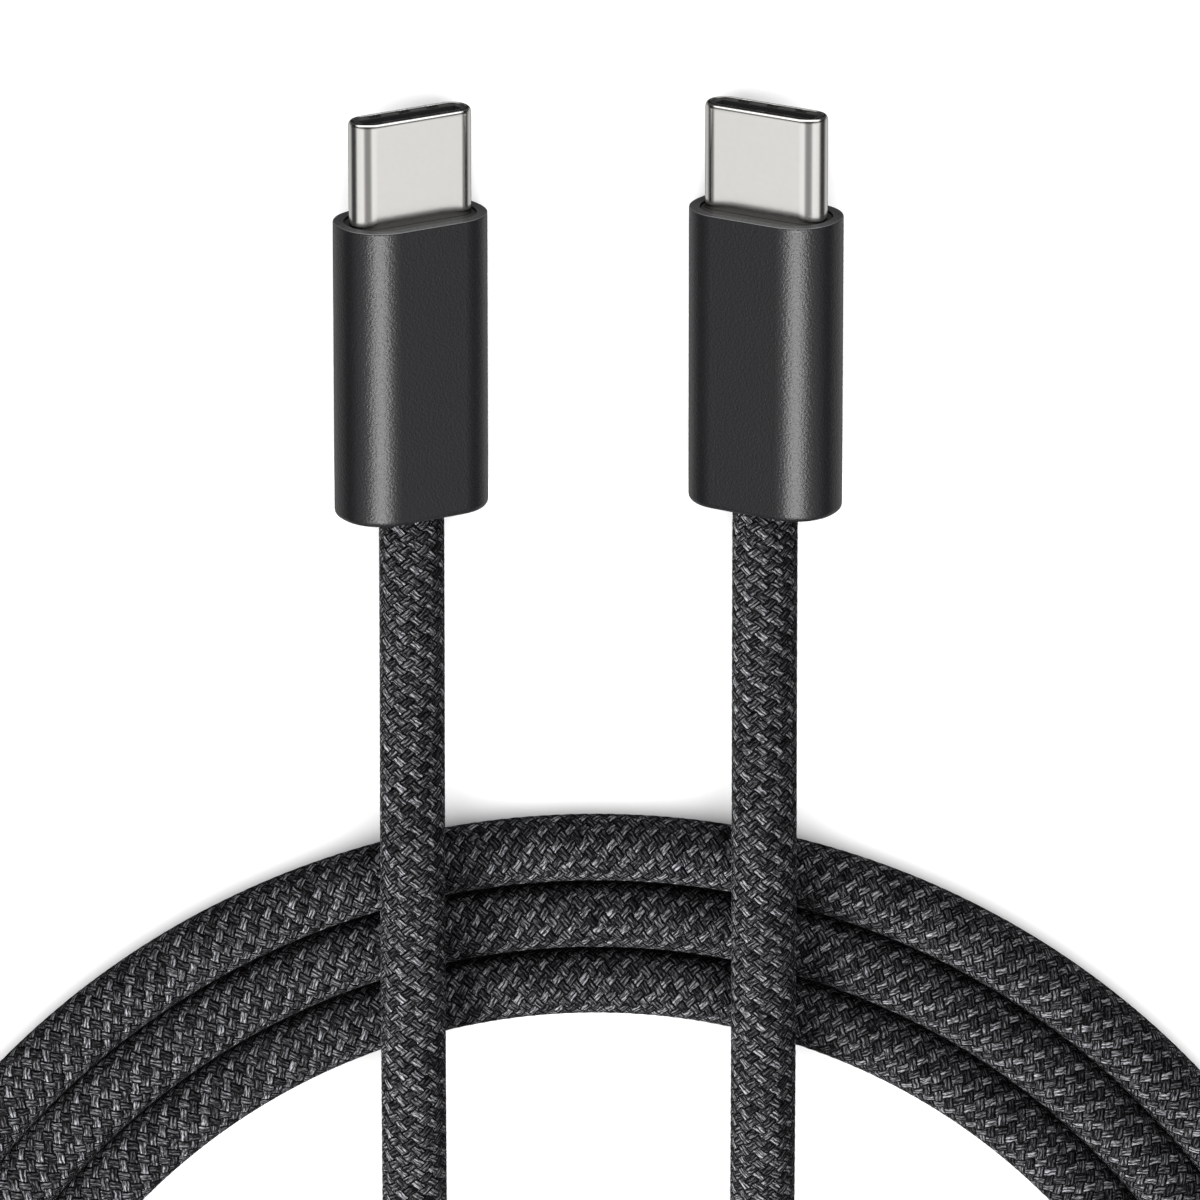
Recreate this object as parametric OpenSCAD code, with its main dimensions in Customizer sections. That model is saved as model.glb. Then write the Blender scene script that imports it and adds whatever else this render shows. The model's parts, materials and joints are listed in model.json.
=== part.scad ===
// USB-C to USB-C charging cable with a braided cord, lying in a flat coil of three turns.
// Frame: origin on the table, midway between the two plugs. +Y points out of the plug tips,
// +X to the right, +Z up. Both plugs are modelled along +Y and then placed side by side.

/* [Plug housing] */
// Length of the metal housing from its rear face to its rim
housing_len = 18.8; // [17:0.1:22]
// Width of the housing
housing_w = 9.85; // [9.5:0.05:11]
// Thickness of the housing
housing_t = 5.74; // [5.6:0.02:6.6]
// Corner radius of the housing section
housing_r = 2.69; // [2.3:0.01:2.75]
// Wall thickness of the housing
housing_wall = 0.65; // [0.5:0.05:0.7]
// How far the nose collar sits below the housing rim
collar_recess = 0.15; // [0.1:0.05:0.4]

/* [USB-C shell] */
// Outer width of the standard plug shell
shell_w = 8.25; // [8.2:0.01:8.3]
// Outer thickness of the standard plug shell
shell_t = 2.4; // [2.36:0.01:2.44]
// Wall of the drawn steel shell
shell_wall = 0.3; // [0.25:0.05:0.3]
// How far the shell stands out past the housing rim
shell_out = 6.5; // [6.2:0.1:6.8]
// Pitch of the contacts
contact_pitch = 0.5; // [0.5:0.5:0.5]

/* [Cord] */
// Diameter of the braided cord
cord_d = 4.0; // [3.8:0.1:4.2]
// Distance from the middle line to each plug's axis
plug_x = 10.85; // [10:0.05:14]
// How far plug b lies ahead of plug a along +Y
plug_stagger = 0.35; // [0:0.05:1]
// Angle by which each plug is rolled about its own axis
plug_roll = 30.6; // [0:0.1:35]

/* [Coil] */
// Distance between neighbouring turns, centre to centre
turn_pitch = 4.16; // [4.1:0.01:4.4]
// Half width of the middle turn's upper arc, as an ellipse
arc_r = 46.06; // [45:0.1:47]
// How much taller than wide the upper arc is
arc_stretch = 1.0545; // [1:0.0005:1.07]
// Half width of the middle turn, side to side
turn_half_w = 41.3; // [41:0.1:42]
// Y of the middle turn's lowest line
turn_bottom_y = -112.3; // [-114:0.1:-110]
// Radius of the middle turn's lower corners
corner_r = 30; // [26:1:34]

/* [Hidden] */
$fn = 48;
slip = 0.02;                                     // gap between pieces that only touch
hair = 0.001;                                    // keeps a full round end from being pinched
cord_r = cord_d / 2;
tip_y = housing_len + shell_out;                 // shell front, in the plug's own frame
collar_y = housing_len - collar_recess;
rear_wall = 1.2;                                 // housing floor round the cord hole
cord_hole_r = cord_r + 0.22;
cavity_w = housing_w - 2 * housing_wall;
cavity_t = housing_t - 2 * housing_wall;
cavity_r = housing_r - housing_wall;
shell_rear_y = 12;
shell_in_w = shell_w - 2 * shell_wall;
shell_in_t = shell_t - 2 * shell_wall;
jacket_end_y = 4;                                // the cord jacket is stripped in front of this
board_rear_y = 7;
board_front_y = 13.4;
board_w = 7.2;
board_t = 0.8;
insulator_rear_y = 13.6;
insulator_front_y = tip_y - 0.12;
insulator_w = shell_in_w - 2 * slip;
insulator_t = shell_in_t - 2 * slip;
tongue_w = 6.8;                                  // cavity that takes the receptacle's tongue
tongue_t = 0.84;
tongue_rear_y = 18.6;
contact_w = 0.25;
contact_tip_y = 23.9;
latch_pivot_x = 3.435;
latch_pivot_y = 16.4;
latch_tip_y = 23.4;
latch_h = 0.44;
finger_x = [-2, 0, 2];                           // the three grounding fingers of each plate
upper_pins = [1, 4, 5, 6, 7, 9, 12];             // ground, power, sense, data pair, power, ground
lower_pins = [1, 4, 5, 9, 12];                   // ground, power, chip supply, power, ground

// The wires between the cord and the board: x, z and radius of each
power_wire_at = [-0.55, 0.83, 0.42];
ground_wire_at = [0.55, -0.83, 0.42];
sense_wire_at = [0.62, 0.66, 0.25];
data_wires_at = [[-0.25, -0.66, 0.25], [-0.85, -0.66, 0.25]];

// Height of a plug's axis when its rolled housing rests on the table
axis_z = (housing_w / 2 - housing_r) * sin(plug_roll)
       + (housing_t / 2 - housing_r) * cos(plug_roll) + housing_r;
plug_rear_y = -(housing_len + shell_out) / 2;

// Coil geometry
coil_x = 0.47;
arc_y = -88.5;
arc_from = 34;                                   // where the upper arc ends, as an ellipse angle
arc_half_t = arc_r * arc_stretch;
arc_normal = atan(tan(arc_from) / arc_stretch);  // the arc's normal angle there
shoulder_r = (turn_half_w - arc_r * cos(arc_from)) / (1 - cos(arc_normal));
shoulder_y = arc_y + arc_half_t * sin(arc_from) - shoulder_r * sin(arc_normal);
lanes = 3;

// Route of the cord from plug a: out of the housing, over the coil, down into its middle and
// round to the inner turn. The first stretch, to FLEX_END, bends when the plug is turned.
ROUTE_A = [
    [-10.85, -12.83, 3.98], [-10.85, -18, 4], [-10.85, -23, 4.3], [-10.85, -28, 5.1],
    [-10.85, -32, 5.8], [-10.85, -36, 6.1], [-10.85, -41, 6.1], [-10.85, -46, 6.1],
    [-10.85, -50, 5.9], [-10.85, -55, 5], [-10.85, -60, 3.8], [-10.85, -66, 2.6],
    [-10.85, -72, 2.1], [-10.85, -79, 2], [-10.85, -87, 2], [-9.6, -95, 2],
    [-5.6, -101.8, 2], [1, -106.4, 2], [9, -108.1, 2]
];
// Route of the cord to plug b: off the outer turn, over the lower turns, up and over the coil.
ROUTE_B = [
    [-45, -75, 2.2], [-45, -81, 2.7], [-44.7, -87, 3.6], [-43.8, -91.2, 4.6],
    [-42.3, -95.4, 5.4], [-40.1, -99.2, 5.9], [-37, -102.5, 6.1], [-33, -105, 6.1],
    [-28.5, -106.7, 6.1], [-23.5, -107.8, 6.1], [-18, -108.5, 6.1], [-12, -108.9, 6.1],
    [-6, -108.4, 6.1], [0, -106.1, 6.1], [5, -102.1, 5.6], [8.8, -96.2, 4.6],
    [10.6, -89, 3.2], [10.85, -81, 2.2], [10.85, -74, 2.1], [10.85, -68, 2.4],
    [10.85, -62, 3.4], [10.85, -56, 4.8], [10.85, -51, 5.8], [10.85, -46, 6.1],
    [10.85, -41, 6.1], [10.85, -36, 6.1], [10.85, -32, 5.8], [10.85, -28, 5.1],
    [10.85, -23, 4.3], [10.85, -18, 4], [10.85, -12.48, 3.98]
];
FLEX_END = 4;                                    // route points from a plug to the flex's end

ENDS = ["a", "b"];
PIECES = [
    "housing", "nose_collar", "plug_shell", "insulator", "upper_contacts", "lower_contacts",
    "upper_ground_spring", "lower_ground_spring", "left_latch_spring", "right_latch_spring",
    "circuit_board", "marker_chip", "board_parts", "solder_joints", "upper_shield_can",
    "lower_shield_can", "inner_mould", "crimp_ferrule", "braid_shield_end", "jacket_end",
    "cord_grommet", "power_wire", "ground_wire", "sense_wire", "data_wires"
];
NODES = concat(
    [for (end = ENDS) for (piece = PIECES) str(piece, "_", end)],
    ["flex_lead_a", "flex_lead_b", "lead_a", "lead_b", "cord_coil"]
);
node = "all";
function draws(name) = node == "all" || node == name;

/* ---- Helpers ---- */

// Rectangle with round corners, from circles and two squares, centred. A corner radius of half
// the height or more gives full round ends.
module round_rect(w, h, corner) {
    r = min(corner, h / 2 - hair);
    for (x = [-1, 1], y = [-1, 1])
        translate([x * (w / 2 - r), y * (h / 2 - r)])
            circle(r);
    square([w - 2 * r, h], center = true);
    square([w, h - 2 * r], center = true);
}

// A bar along +Y from y0 to y1 whose X-Z section is the child shape
module along_y(y0, y1)
    translate([0, y1, 0])
        rotate([90, 0, 0])
            linear_extrude(y1 - y0)
                children();

// A round rod along +Y at x, z
module rod(x, z, r, y0, y1)
    translate([x, y1, z])
        rotate([90, 0, 0])
            cylinder(h = y1 - y0, r = r);

// A box from one corner to the opposite one
module box(low, high)
    translate(low)
        cube(high - low);

// x of contact number pin, 1 to 12, counted from the left
function pin_x(pin) = (pin - 6.5) * contact_pitch;

/* ---- Plug pieces, in the plug's own frame: y is 0 at the housing's rear face ---- */

module housing()
    color("#26272a")
        difference() {
            along_y(0, housing_len)
                round_rect(housing_w, housing_t, housing_r);
            along_y(rear_wall, housing_len + 1)
                round_rect(cavity_w, cavity_t, cavity_r);
            rod(0, 0, cord_hole_r, -1, rear_wall + 1);
        }

module nose_collar()
    color("#17181a")
        nose_ring(collar_y - 1.2, collar_y);

module inner_mould()
    color("#e8e6de")
        nose_ring(12.95, collar_y - 1.2);

// Filling between the shell and the housing wall
module nose_ring(y0, y1)
    difference() {
        along_y(y0, y1)
            round_rect(cavity_w - 2 * slip, cavity_t - 2 * slip, cavity_r - slip);
        along_y(y0 - 1, y1 + 1)
            round_rect(shell_w + 2 * slip, shell_t + 2 * slip, shell_t);
    }

module plug_shell()
    color("#d5d6d3")
        difference() {
            along_y(shell_rear_y, tip_y)
                round_rect(shell_w, shell_t, shell_t / 2);
            along_y(shell_rear_y - 1, tip_y + 1)
                round_rect(shell_in_w, shell_in_t, shell_in_t / 2);
        }

module insulator()
    color("#101112")
        difference() {
            along_y(insulator_rear_y, insulator_front_y)
                round_rect(insulator_w, insulator_t, insulator_t / 2);
            box([-tongue_w / 2, tongue_rear_y, -tongue_t / 2],
                [tongue_w / 2, tip_y, tongue_t / 2]);
            for (face = [0, 1])
                mirror([0, 0, face])
                    insulator_cuts();
            for (side = [0, 1])
                mirror([side, 0, 0])
                    latch_slot();
        }

// Contact slots, ground-spring seat and front notches on the insulator's upper half
module insulator_cuts() {
    for (pin = [1:12])
        box([pin_x(pin) - 0.17, insulator_rear_y - 1, 0.38], [pin_x(pin) + 0.17, 24.05, 0.72]);
    box([-3, 19.6, 0.8], [3, 24.2, 1]);
    for (x = finger_x)
        box([x - 0.35, 24.15, 0.5], [x + 0.35, tip_y, 1]);
}

// Side slot in which a latch spring lies and swings
module latch_slot()
    box([3.29, 16, -0.3], [4, 24.2, 0.3]);

module upper_contacts()
    color("#d9b25a")
        contact_row(upper_pins);

module lower_contacts()
    color("#d9b25a")
        mirror([0, 0, 1])
            contact_row(lower_pins);

module contact_row(pins)
    for (pin = pins)
        translate([pin_x(pin), 0, 0])
            contact();

// One contact: a tail on the board, a beam in its slot and a nose that meets the tongue
module contact()
    rotate([90, 0, 90])
        translate([0, 0, -contact_w / 2])
            linear_extrude(contact_w)
                polygon([
                    [12.4, 0.41], [14.2, 0.41], [14.2, 0.5], [22.7, 0.5], [23.2, 0.34],
                    [23.5, 0.34], [contact_tip_y, 0.5], [contact_tip_y, 0.65], [23.5, 0.49],
                    [23.2, 0.49], [22.7, 0.65], [14.05, 0.65], [14.05, 0.56], [12.4, 0.56]
                ]);

module upper_ground_spring()
    color("#c9cac8")
        ground_spring();

module lower_ground_spring()
    color("#c9cac8")
        mirror([0, 0, 1])
            ground_spring();

// Thin plate on the insulator with three fingers that turn in at the mouth
module ground_spring() {
    box([-2.9, 19.7, 0.8], [2.9, 24.2, 0.87]);
    for (x = finger_x)
        rotate([90, 0, 90])
            translate([0, 0, x - 0.3])
                linear_extrude(0.6)
                    polygon([
                        [24.1, 0.8], [25.16, 0.8], [25.2, 0.52], [25.28, 0.52], [25.28, 0.8],
                        [25.24, 0.87], [24.1, 0.87]
                    ]);
}

module left_latch_spring()
    color("#c9cac8")
        mirror([1, 0, 0])
            latch_spring();

module right_latch_spring()
    color("#c9cac8")
        latch_spring();

// Side spring that clicks into the receptacle's tongue, with a round root at its pivot
module latch_spring() {
    translate([latch_pivot_x, latch_pivot_y, -latch_h / 2])
        cylinder(h = latch_h, r = 0.13);
    translate([0, 0, -latch_h / 2])
        linear_extrude(latch_h)
            polygon([
                [3.36, latch_pivot_y], [3.51, latch_pivot_y], [3.51, latch_tip_y],
                [3.4, latch_tip_y], [3.12, 22.95], [3.12, 22.6], [3.36, 22.1]
            ]);
}

module circuit_board()
    color("#1f5a3a")
        box([-board_w / 2, board_rear_y, -board_t / 2], [board_w / 2, board_front_y, board_t / 2]);

module marker_chip()
    color("#1b1b1d")
        box([-0.9, 10, board_t / 2], [0.9, 11.6, board_t / 2 + 0.55]);

// Small chip parts on both faces of the board
module board_parts()
    color("#b98a5a")
        for (at = [[-2.2, 10.2, 0], [2.2, 10.2, 0], [2.2, 11.2, 0], [-1.4, 10.4, 1], [1.4, 10.4, 1]])
            mirror([0, 0, at[2]])
                box([at[0] - 0.25, at[1], board_t / 2], [at[0] + 0.25, at[1] + 0.6, board_t / 2 + 0.3]);

// A joint of solder over the end of each wire
module solder_joints()
    color("#bfc3c6")
        difference() {
            for (wire = concat([power_wire_at, ground_wire_at, sense_wire_at], data_wires_at))
                solder_joint(wire);
            for (wire = concat([power_wire_at, ground_wire_at, sense_wire_at], data_wires_at))
                rod(wire[0], wire[1], wire[2], 7.5, 9.05);
        }

module solder_joint(wire)
    mirror([0, 0, wire[1] < 0 ? 1 : 0])
        box([wire[0] - wire[2] * 0.9, 8.3, board_t / 2],
            [wire[0] + wire[2] * 0.9, 9.3, board_t / 2 + wire[2]]);

module upper_shield_can()
    color("#b9bcbd")
        shield_can();

module lower_shield_can()
    color("#b9bcbd")
        mirror([0, 0, 1])
            shield_can();

// Half of the stamped cover round the board
module shield_can()
    difference() {
        along_y(6.2, 11.9)
            round_rect(cavity_w - 0.1, cavity_t - 0.1, cavity_r - 0.05);
        along_y(6, 12)
            round_rect(cavity_w - 0.4, cavity_t - 0.4, cavity_r - 0.2);
        box([-6, 5, -6], [6, 13, 0.01]);
    }

module crimp_ferrule()
    color("#c7c9ca")
        pipe(cord_r + 0.01, cord_r + 0.18, 2.6, 5.6);

module braid_shield_end()
    color("#c07a4a")
        pipe(1.56, 1.98, jacket_end_y, 5.4);

module cord_grommet()
    color("#1a1b1c")
        pipe(cord_r + 0.02, cord_hole_r - 0.01, 0.05, 2.5);

// A tube along the plug's axis
module pipe(r_in, r_out, y0, y1)
    difference() {
        rod(0, 0, r_out, y0, y1);
        rod(0, 0, r_in, y0 - 1, y1 + 1);
    }

module jacket_end()
    color("#2b2d31")
        rod(0, 0, cord_r, 0, jacket_end_y);

module wire(at)
    rod(at[0], at[1], at[2], jacket_end_y, 9);

module power_wire()
    color("#b3261e")
        wire(power_wire_at);

module ground_wire()
    color("#202122")
        wire(ground_wire_at);

module sense_wire()
    color("#2f5fb3")
        wire(sense_wire_at);

module data_wires()
    color("#2e8b57")
        for (at = data_wires_at)
            wire(at);

// Places a plug: side -1 is plug a on the left, side 1 is plug b on the right
module place_plug(end) {
    side = end == "a" ? -1 : 1;
    translate([side * plug_x, plug_rear_y + side * plug_stagger / 2, axis_z])
        rotate([0, -side * plug_roll, 0])
            children();
}

// Draws one plug piece by its name
module plug_piece(piece) {
    if (piece == "housing") housing();
    if (piece == "nose_collar") nose_collar();
    if (piece == "plug_shell") plug_shell();
    if (piece == "insulator") insulator();
    if (piece == "upper_contacts") upper_contacts();
    if (piece == "lower_contacts") lower_contacts();
    if (piece == "upper_ground_spring") upper_ground_spring();
    if (piece == "lower_ground_spring") lower_ground_spring();
    if (piece == "left_latch_spring") left_latch_spring();
    if (piece == "right_latch_spring") right_latch_spring();
    if (piece == "circuit_board") circuit_board();
    if (piece == "marker_chip") marker_chip();
    if (piece == "board_parts") board_parts();
    if (piece == "solder_joints") solder_joints();
    if (piece == "upper_shield_can") upper_shield_can();
    if (piece == "lower_shield_can") lower_shield_can();
    if (piece == "inner_mould") inner_mould();
    if (piece == "crimp_ferrule") crimp_ferrule();
    if (piece == "braid_shield_end") braid_shield_end();
    if (piece == "jacket_end") jacket_end();
    if (piece == "cord_grommet") cord_grommet();
    if (piece == "power_wire") power_wire();
    if (piece == "ground_wire") ground_wire();
    if (piece == "sense_wire") sense_wire();
    if (piece == "data_wires") data_wires();
}

/* ---- Cord ---- */

function unit(v) = v / norm(v);
function last(list) = len(list) - 1;
// Direction of a route at point i
function heading(route, i) = unit(route[min(i + 1, last(route))] - route[max(i - 1, 0)]);
// Ring of points round point i, square to the route
function ring(route, i, r, sides) =
    let (t = heading(route, i), across = unit(cross(t, [0, 0, 1])), up = cross(across, t))
    [for (k = [0:sides - 1]) let (a = 360 * (k + 0.5) / sides)
        route[i] + r * (cos(a) * across + sin(a) * up)];

// Tube swept along the route's points from first to last
module cord_tube(route, first, final, r = cord_r, sides = 8) {
    rings = [for (i = [first:final]) ring(route, i, r, sides)];
    points = [for (one = rings) each one];
    walls = [for (i = [0:len(rings) - 2], k = [0:sides - 1])
        let (a = i * sides, next = (k + 1) % sides)
        [a + k, a + sides + k, a + sides + next, a + next]];
    caps = [
        [for (k = [0:sides - 1]) k],
        [for (k = [sides - 1:-1:0]) (len(rings) - 1) * sides + k]
    ];
    color("#2b2d31")
        polyhedron(points = points, faces = concat(walls, caps));
}

// Point on a turn: the outward normal's angle phi, and the lane, 0 for the middle turn
function turn_point(phi, lane) =
    let (c = cos(phi), s = sin(phi), pitch = turn_pitch * (1 + (arc_stretch - 1) * pow(max(0, s), 2)))
    turn_base(phi, c, s) + lane * pitch * [c, s];
function turn_base(phi, c, s) =
    phi >= arc_normal && phi <= 180 - arc_normal
        ? let (q = norm([arc_r * c, arc_half_t * s]))
          [coil_x + arc_r * arc_r * c / q, arc_y + arc_half_t * arc_half_t * s / q]
    : phi > 0 && phi < 180
        ? [coil_x + sign(c) * (turn_half_w - shoulder_r) + shoulder_r * c, shoulder_y + shoulder_r * s]
        : [coil_x + sign(c) * (turn_half_w - corner_r) + corner_r * c,
           turn_bottom_y + corner_r + corner_r * s];
// Outline of the coil at a lane, from the lower right corner round to the lower left one
function turn_outline(lane) = [for (phi = [-84:6:264]) turn_point(phi, lane)];

module cord_coil() {
    edge = (lanes - 1) / 2 + cord_r / turn_pitch;
    color("#2b2d31")
        linear_extrude(cord_d)
            difference() {
                polygon(turn_outline(edge));
                polygon(turn_outline(-edge));
            }
}

/* ---- Parts ---- */

for (end = ENDS, piece = PIECES)
    if (draws(str(piece, "_", end)))
        place_plug(end)
            plug_piece(piece);
if (draws("flex_lead_a")) cord_tube(ROUTE_A, 0, FLEX_END);
if (draws("flex_lead_b")) cord_tube(ROUTE_B, last(ROUTE_B) - FLEX_END, last(ROUTE_B));
if (draws("lead_a")) cord_tube(ROUTE_A, FLEX_END, last(ROUTE_A));
if (draws("lead_b")) cord_tube(ROUTE_B, 0, last(ROUTE_B) - FLEX_END);
if (draws("cord_coil")) cord_coil();
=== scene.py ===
import json
import math

import bmesh
import bpy
import numpy as np
from mathutils import Matrix, Vector

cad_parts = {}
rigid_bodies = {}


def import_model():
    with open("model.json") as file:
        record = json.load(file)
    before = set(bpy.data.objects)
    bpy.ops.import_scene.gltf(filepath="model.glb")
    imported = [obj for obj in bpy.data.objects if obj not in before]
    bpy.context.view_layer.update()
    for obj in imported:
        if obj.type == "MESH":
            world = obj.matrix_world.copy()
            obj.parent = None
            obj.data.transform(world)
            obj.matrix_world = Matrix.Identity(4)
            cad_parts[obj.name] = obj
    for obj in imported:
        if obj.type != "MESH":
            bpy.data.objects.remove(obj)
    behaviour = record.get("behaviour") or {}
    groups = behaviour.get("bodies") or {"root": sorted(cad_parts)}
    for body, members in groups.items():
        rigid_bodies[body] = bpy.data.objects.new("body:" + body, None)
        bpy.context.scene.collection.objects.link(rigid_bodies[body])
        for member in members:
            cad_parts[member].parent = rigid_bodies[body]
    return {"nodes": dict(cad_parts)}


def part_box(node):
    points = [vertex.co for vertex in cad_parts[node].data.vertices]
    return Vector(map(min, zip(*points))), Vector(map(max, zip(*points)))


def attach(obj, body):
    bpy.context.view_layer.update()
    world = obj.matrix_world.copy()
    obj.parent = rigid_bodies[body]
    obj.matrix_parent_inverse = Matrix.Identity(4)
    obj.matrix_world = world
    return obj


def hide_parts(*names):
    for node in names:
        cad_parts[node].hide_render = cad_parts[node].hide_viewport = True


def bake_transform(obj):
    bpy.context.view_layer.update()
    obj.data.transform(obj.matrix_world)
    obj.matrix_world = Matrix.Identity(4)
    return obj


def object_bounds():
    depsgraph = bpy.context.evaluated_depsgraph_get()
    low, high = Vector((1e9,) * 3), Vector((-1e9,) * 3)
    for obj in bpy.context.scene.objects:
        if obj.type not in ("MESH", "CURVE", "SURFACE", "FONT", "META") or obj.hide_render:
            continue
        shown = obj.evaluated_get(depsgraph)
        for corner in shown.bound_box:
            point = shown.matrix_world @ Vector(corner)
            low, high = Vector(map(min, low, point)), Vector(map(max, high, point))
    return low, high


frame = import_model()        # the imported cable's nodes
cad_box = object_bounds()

# ---- Sizes in metres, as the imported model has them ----

ENDS = {"a": -1, "b": 1}                 # plug a lies at -X, plug b at +X
PLUG_ROLL = math.radians(30.6)           # each plug is rolled inwards about its own axis

HOUSING_LENGTH = 0.0188
HOUSING_SECTION = (0.00985, 0.00574, 0.00269)     # width, thickness, corner radius
HOUSING_WALL = 0.00065
HOUSING_FLOOR = 0.0012                   # rear wall round the cord hole
CORD_HOLE_RADIUS = 0.00222
HOLE_CHAMFER = 0.0001
COLLAR_FRONT = 0.01865
COLLAR_DEPTH = 0.0012
SHELL_SECTION = (0.00825, 0.0024, 0.0012)
SHELL_WALL = 0.0003
SHELL_REAR = 0.012
SHELL_FRONT = 0.0253
FIT_GAP = 0.00002                        # between pieces that only touch

CORD_DIAMETER = 0.004
CURVE_STEP = 0.0004
FLEX_END = 4                             # route points from a plug to the end of its flexing stretch

# The coil: three turns side by side, each an upper arc, two shoulders, two sides and a bottom
TURNS = 3
TURN_PITCH = 0.00416
CORD_Z = 0.002                           # height of the cord's middle where it lies on the table
COIL_X = 0.00047
ARC_Y = -0.0885
ARC_RADIUS = 0.04606
ARC_STRETCH = 1.0545
ARC_FROM = math.radians(34)
TURN_HALF_WIDTH = 0.0413                 # of the middle turn
TURN_BOTTOM = -0.1123
CORNER_RADIUS = 0.030
TURN_STEP = 7.5                          # degrees from one point of a round stretch to the next
LEAVE_AT = 172.5                         # degrees at which the outer turn goes over into route b
SHIFT_FROM = 222                         # degrees from which a turn moves out by a lane
SHIFT_AT_CORNER = 0.55                   # how far through that move it is at the corner's end,
SHIFT_AT_BOTTOM = 0.8                    # and halfway along the bottom

# Route from plug a over the coil, down into its middle and round to the inner turn
ROUTE_A = [
    (-0.01085, -0.01283, 0.00398), (-0.01085, -0.018, 0.004), (-0.01085, -0.023, 0.0043),
    (-0.01085, -0.028, 0.0051), (-0.01085, -0.032, 0.0058), (-0.01085, -0.036, 0.0061),
    (-0.01085, -0.041, 0.0061), (-0.01085, -0.046, 0.0061), (-0.01085, -0.050, 0.0059),
    (-0.01085, -0.055, 0.005), (-0.01085, -0.060, 0.0038), (-0.01085, -0.066, 0.0026),
    (-0.01085, -0.072, 0.0021), (-0.01085, -0.079, 0.002), (-0.01085, -0.087, 0.002),
    (-0.0096, -0.095, 0.002), (-0.0056, -0.1018, 0.002), (0.001, -0.1064, 0.002),
    (0.009, -0.1081, 0.002),
]
# Route off the outer turn, over the lower turns and up over the coil to plug b
ROUTE_B = [
    (-0.045, -0.075, 0.0022), (-0.045, -0.081, 0.0027), (-0.0447, -0.087, 0.0036),
    (-0.0438, -0.0912, 0.0046), (-0.0423, -0.0954, 0.0054), (-0.0401, -0.0992, 0.0059),
    (-0.037, -0.1025, 0.0061), (-0.033, -0.105, 0.0061), (-0.0285, -0.1067, 0.0061),
    (-0.0235, -0.1078, 0.0061), (-0.018, -0.1085, 0.0061), (-0.012, -0.1089, 0.0061),
    (-0.006, -0.1084, 0.0061), (0, -0.1061, 0.0061), (0.005, -0.1021, 0.0056),
    (0.0088, -0.0962, 0.0046), (0.0106, -0.089, 0.0032), (0.01085, -0.081, 0.0022),
    (0.01085, -0.074, 0.0021), (0.01085, -0.068, 0.0024), (0.01085, -0.062, 0.0034),
    (0.01085, -0.056, 0.0048), (0.01085, -0.051, 0.0058), (0.01085, -0.046, 0.0061),
    (0.01085, -0.041, 0.0061), (0.01085, -0.036, 0.0061), (0.01085, -0.032, 0.0058),
    (0.01085, -0.028, 0.0051), (0.01085, -0.023, 0.0043), (0.01085, -0.018, 0.004),
    (0.01085, -0.01248, 0.00398),
]

# The braid: yarn floats in columns along the cord, leaning left and right in turn
BRAID_COLUMNS = 24
BRAID_PITCH = 0.00083                    # one float to the next along a column
FLOAT_REACH = 0.90                       # half a float's length and width, as shares of the
FLOAT_HALF = 0.49                        # spacing between yarns
FLANK_DROP = 0.8                         # how far a float's long sides fall, in float heights
FIBRE_BUNDLES = 3                        # side by side on each float
YARN_RELIEF = 0.00007                    # height of the floats
MEAN_HEIGHT = 0.7                        # yarn height that lies at the cord's own radius
COIL_SWELL = 0.00005                     # added to the coil's radius, so that its turns nearly touch
SWELL_FROM = 0.06                        # metres of cord from a plug at which that starts,
SWELL_FULL = 0.10                        # and at which it is complete
SIDES_PER_COLUMN = 2
RINGS_PER_FLOAT = 4


# ---- Camera ----

VIEW_TILT = math.radians(18.5)           # from straight above, towards +Y
VIEW_TARGET = (0.00072, -0.02006, 0)
VIEW_WIDTH = 0.07419                     # metres across the picture at the target
VIEW_LENS = 400                          # millimetres, so that the view is nearly parallel
SENSOR = 36                              # millimetres


def make_camera():
    """Looks down at the plugs and the nearer arcs of the coil, with +Y up the picture."""
    back = Vector((0, math.sin(VIEW_TILT), math.cos(VIEW_TILT)))
    data = bpy.data.cameras.new("camera")
    data.lens = VIEW_LENS
    data.sensor_width = SENSOR
    data.clip_start = 0.01
    data.clip_end = 20
    camera = bpy.data.objects.new("camera", data)
    distance = VIEW_WIDTH * VIEW_LENS / SENSOR
    camera.location = Vector(VIEW_TARGET) + back * distance
    camera.rotation_euler = (-VIEW_TILT, 0, 0)
    bpy.context.scene.collection.objects.link(camera)
    bpy.context.scene.camera = camera


# ---- The cord's route ----

def smooth(t):
    """0 to 1 with level ends."""
    t = min(1, max(0, t))
    return t * t * (3 - 2 * t)


def shoulder():
    """Radius and Y of the round shoulders that join the upper arc to the turn's sides."""
    normal = math.atan(math.tan(ARC_FROM) / ARC_STRETCH)
    radius = (TURN_HALF_WIDTH - ARC_RADIUS * math.cos(ARC_FROM)) / (1 - math.cos(normal))
    y = ARC_Y + ARC_RADIUS * ARC_STRETCH * math.sin(ARC_FROM) - radius * math.sin(normal)
    return normal, radius, y


ARC_NORMAL, SHOULDER_RADIUS, SHOULDER_Y = shoulder()


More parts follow.
